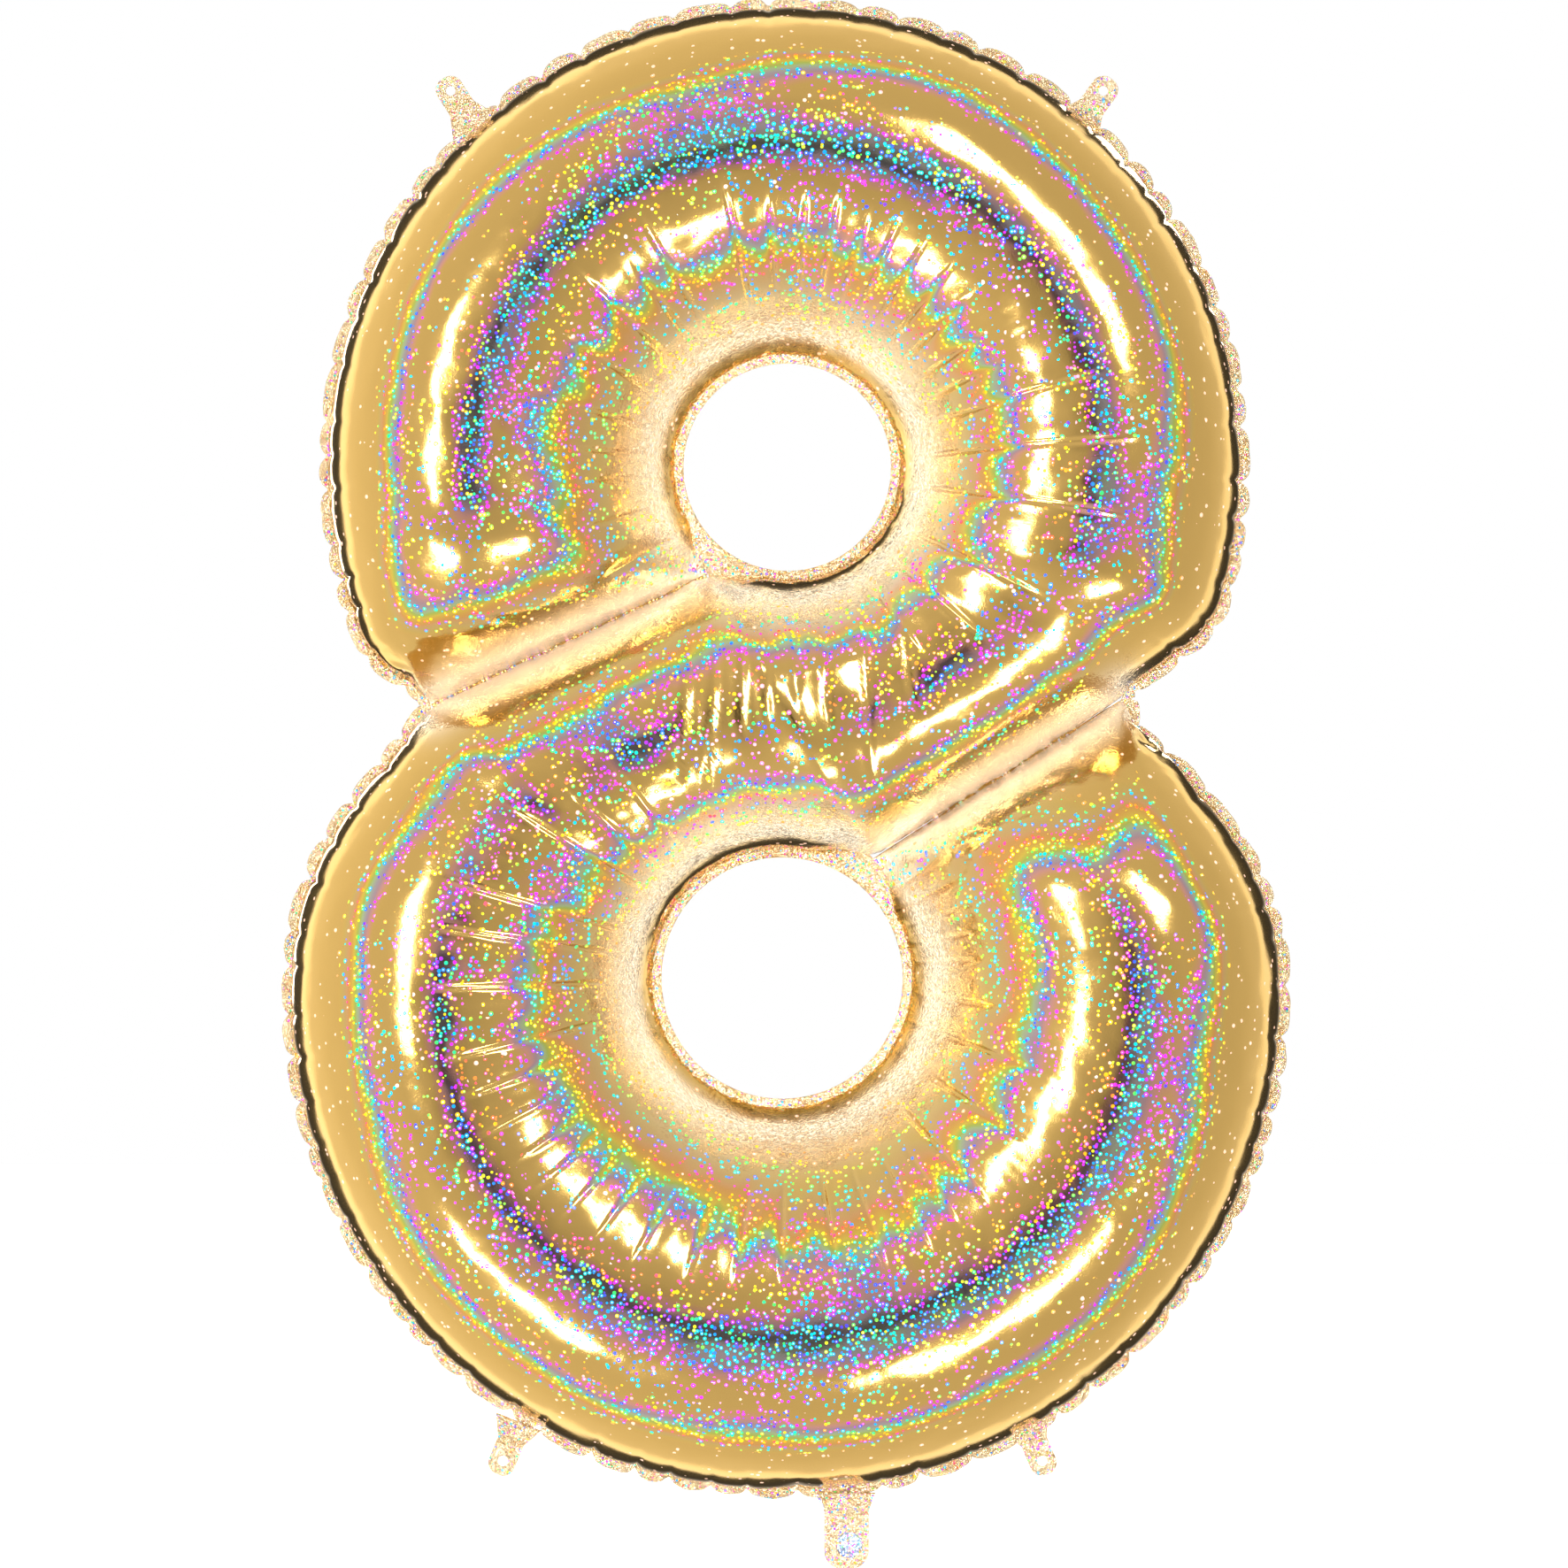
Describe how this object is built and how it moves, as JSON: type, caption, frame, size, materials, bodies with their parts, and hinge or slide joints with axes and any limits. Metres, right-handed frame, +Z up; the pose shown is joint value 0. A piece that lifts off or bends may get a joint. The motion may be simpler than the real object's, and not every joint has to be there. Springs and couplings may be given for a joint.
{
  "type": "foil number balloon",
  "caption": "Inflated figure-eight foil number balloon with heat-sealed edges, hanging tabs with holes and a filling tail.",
  "frame": {"origin": "half-way between the two top hanging holes, in the plane of the heat seal", "axes": "+Z up the figure, +X to the right, the front faces -Y"},
  "size_m": [0.688, 0.1864, 1.0688],
  "materials": {
    "gold_film": "light gold metallised film with a fine holographic glitter",
    "gold_film_seal": "two light gold films fused together, crinkled",
    "silver_film_inside": "the uncoated silver inside of the film",
    "clear_valve_film": "thin frosted valve film"
  },
  "bodies": {
    "envelope": {"front_film_panel": "gold_film", "back_film_panel": "gold_film", "outer_seal": "gold_film_seal", "upper_hole_seal": "gold_film_seal", "lower_hole_seal": "gold_film_seal", "left_waist_seam": "gold_film_seal", "right_waist_seam": "gold_film_seal", "filling_neck": "gold_film_seal"},
    "upper_left_tab": {"upper_left_tab": "gold_film_seal"},
    "upper_right_tab": {"upper_right_tab": "gold_film_seal"},
    "lower_left_tab": {"lower_left_tab": "gold_film_seal"},
    "lower_right_tab": {"lower_right_tab": "gold_film_seal"},
    "filling_tail": {"filling_tail_front": "gold_film_seal", "filling_tail_back": "silver_film_inside"},
    "front_valve_film": {"front_valve_film": "clear_valve_film"},
    "back_valve_film": {"back_valve_film": "clear_valve_film"}
  },
  "joints": [
    {"name": "upper_left_tab_fold", "type": "hinge", "parent": "envelope", "child": "upper_left_tab", "pos_m": [-0.21383, 0, -0.01258], "axis": [0.8387, 0, 0.5446], "range_deg": [-85, 85], "stiffness_Nm_per_rad": 0.0004},
    {"name": "upper_right_tab_fold", "type": "hinge", "parent": "envelope", "child": "upper_right_tab", "pos_m": [0.21318, 0, -0.01213], "axis": [0.809, 0, -0.5878], "range_deg": [-85, 85], "stiffness_Nm_per_rad": 0.0004},
    {"name": "lower_left_tab_fold", "type": "hinge", "parent": "envelope", "child": "lower_left_tab", "pos_m": [-0.18088, 0, -0.91809], "axis": [-0.9272, 0, 0.3746], "range_deg": [-85, 85], "stiffness_Nm_per_rad": 0.0004},
    {"name": "lower_right_tab_fold", "type": "hinge", "parent": "envelope", "child": "lower_right_tab", "pos_m": [0.17464, 0, -0.91819], "axis": [-0.9205, 0, -0.3907], "range_deg": [-85, 85], "stiffness_Nm_per_rad": 0.0004},
    {"name": "tail_fold", "type": "hinge", "parent": "envelope", "child": "filling_tail", "pos_m": [0.0473, 0, -0.95983], "axis": [1, 0, 0], "range_deg": [-85, 85], "stiffness_Nm_per_rad": 0.001},
    {"name": "front_valve_lip", "type": "hinge", "parent": "envelope", "child": "front_valve_film", "pos_m": [0.0473, -0.00045, -0.94703], "axis": [1, 0, 0], "range_deg": [0, 5], "stiffness_Nm_per_rad": 0.0006},
    {"name": "back_valve_lip", "type": "hinge", "parent": "envelope", "child": "back_valve_film", "pos_m": [0.0473, 0.00045, -0.94703], "axis": [1, 0, 0], "range_deg": [-5, 0], "stiffness_Nm_per_rad": 0.0006}
  ],
  "couplings": [
    {"joint": "back_valve_lip", "follows": "front_valve_lip", "ratio": -1}
  ]
}
